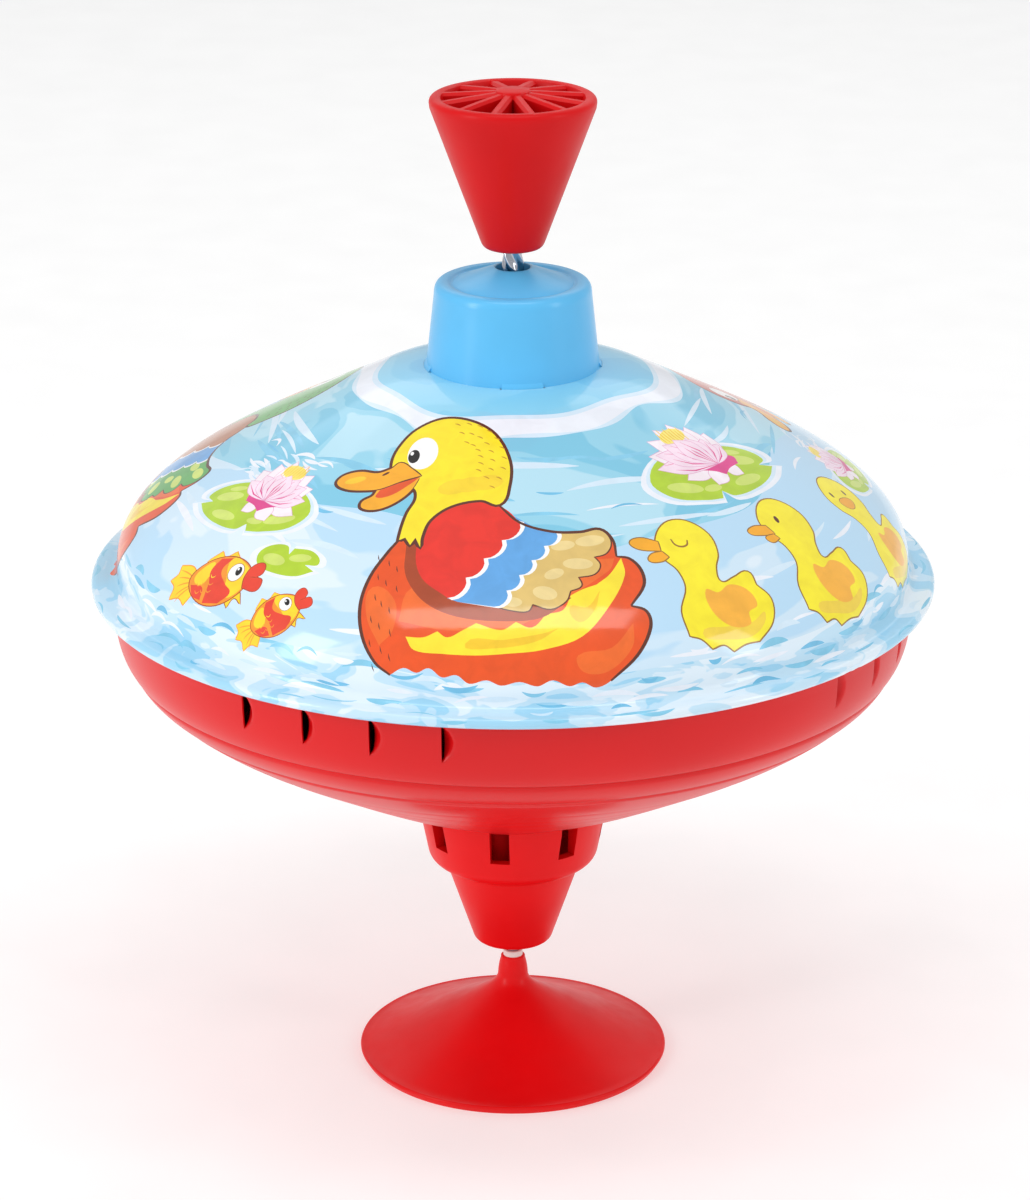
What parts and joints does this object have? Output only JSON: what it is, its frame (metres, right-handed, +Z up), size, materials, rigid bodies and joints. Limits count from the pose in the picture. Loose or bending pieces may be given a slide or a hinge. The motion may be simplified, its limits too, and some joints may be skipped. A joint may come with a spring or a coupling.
{
  "type": "spinning top",
  "caption": "Tin humming top with a pump knob on a twisted spindle, two pressed shells, a slotted air hub with reeds, and a small foot that it spins on.",
  "frame": {"origin": "centre of the foot's underside", "axes": "+Z up along the spin axis, -Y towards the front"},
  "size_m": [0.19, 0.19, 0.2295],
  "materials": {
    "red_plastic": "satin gloss",
    "blue_plastic": "satin gloss",
    "white_nylon": "satin",
    "steel": "polished",
    "brass": "satin",
    "felt": "matt felt",
    "red_tin": "gloss lacquer",
    "printed_tin": "gloss lacquer over print"
  },
  "bodies": {
    "stand": {"foot": "red_plastic", "foot_bush": "white_nylon"},
    "spinner": {"axle_pin": "steel", "hub": "red_plastic", "reed_gasket": "felt", "reed_plate": "brass", "reeds": "brass", "reed_rivets": "brass", "hub_lock_ring": "steel", "lower_shell": "red_tin", "upper_shell": "printed_tin", "guide_tube": "steel", "spindle_guide": "white_nylon", "clutch_seat": "white_nylon", "thrust_washer": "brass", "cap": "blue_plastic"},
    "plunger": {"knob": "red_plastic", "spindle": "steel", "spindle_stop": "white_nylon"},
    "nut": {"drive_nut": "white_nylon"}
  },
  "joints": [
    {"name": "body_spin", "type": "hinge", "parent": "stand", "child": "spinner", "pos_m": [0, 0, 0.0165], "axis": [0, 0, 1], "continuous": true},
    {"name": "spindle_slide", "type": "slide", "parent": "spinner", "child": "plunger", "axis": [0, 0, 1], "range_m": [0, 0.108]},
    {"name": "nut_spin", "type": "hinge", "parent": "spinner", "child": "nut", "pos_m": [0, 0, 0.178], "axis": [0, 0, 1], "range_deg": [-1, 1621]}
  ],
  "couplings": [
    {"joint": "nut_spin", "follows": "spindle_slide", "rad_per_m": 261.8}
  ]
}
